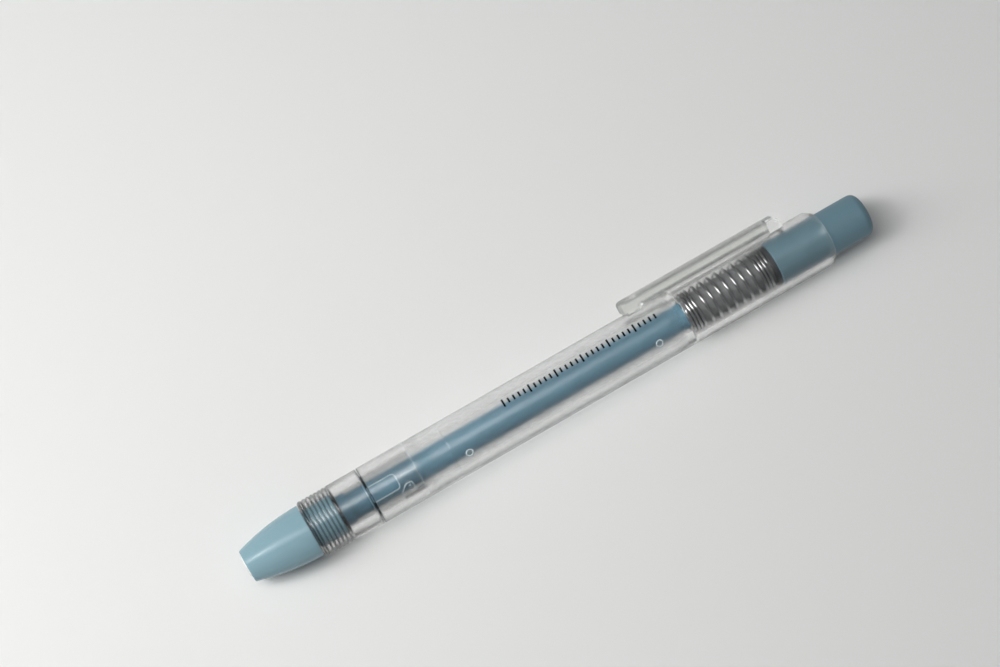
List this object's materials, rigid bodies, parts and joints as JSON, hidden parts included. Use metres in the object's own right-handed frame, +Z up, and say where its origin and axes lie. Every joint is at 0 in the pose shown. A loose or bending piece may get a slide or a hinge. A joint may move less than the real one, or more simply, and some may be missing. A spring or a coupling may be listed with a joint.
{
  "type": "click eraser pen",
  "caption": "Slim click eraser pen with a clear barrel, pocket clip, ogive nose, ridged bayonet collar, visible return spring and push button.",
  "frame": {"origin": "on the table, under the middle of the pen's outline, with the pen lying on its side", "axes": "+X along the pen towards the push button, +Z up, the clip on the +Y side"},
  "size_m": [0.1192, 0.0126, 0.0102],
  "materials": {
    "blue_gloss": "glossy grey-blue",
    "clear": "slightly frosted clear",
    "blue_tube": "satin grey-blue",
    "blue_button": "satin deep grey-blue",
    "grey_sleeve": "matte mid grey",
    "spring_steel": "bright wire",
    "clutch_brass": "plain",
    "eraser": "matte white"
  },
  "bodies": {
    "barrel": {"barrel": "clear", "clip_block": "clear", "return_spring": "spring_steel"},
    "collar": {"front_collar": "clear", "nose_cone": "blue_gloss", "clutch_seat": "blue_gloss"},
    "clutch": {"clutch_ring": "clutch_brass"},
    "drive": {"push_button": "blue_button", "guide_sleeve": "grey_sleeve", "eraser_tube": "blue_tube", "chuck": "blue_tube"},
    "eraser": {"eraser_stick": "eraser"},
    "clip": {"pocket_clip": "clear"}
  },
  "joints": [
    {"name": "button_press", "type": "slide", "parent": "barrel", "child": "drive", "axis": [-1, 0, 0], "range_m": [0, 0.003], "stiffness_N_per_m": 600, "springref_m": -0.003, "deforming": ["return_spring"]},
    {"name": "clutch_ride", "type": "slide", "parent": "collar", "child": "clutch", "axis": [-1, 0, 0], "range_m": [0, 0.0008]},
    {"name": "eraser_feed", "type": "slide", "parent": "drive", "child": "eraser", "axis": [-1, 0, 0], "range_m": [-0.012, 0.06]},
    {"name": "collar_twist", "type": "hinge", "parent": "barrel", "child": "collar", "pos_m": [0, -0.00118, 0.0051], "axis": [-1, 0, 0], "range_deg": [0, 19]},
    {"name": "clip_flex", "type": "hinge", "parent": "barrel", "child": "clip", "pos_m": [0.0433, 0.00577, 0.00791], "axis": [0, 0.3746, -0.9272], "range_deg": [0, 3.5], "stiffness_Nm_per_rad": 0.4, "springref_deg": -2.86}
  ],
  "couplings": [
    {"joint": "clutch_ride", "follows": "button_press", "ratio": 0.26}
  ]
}
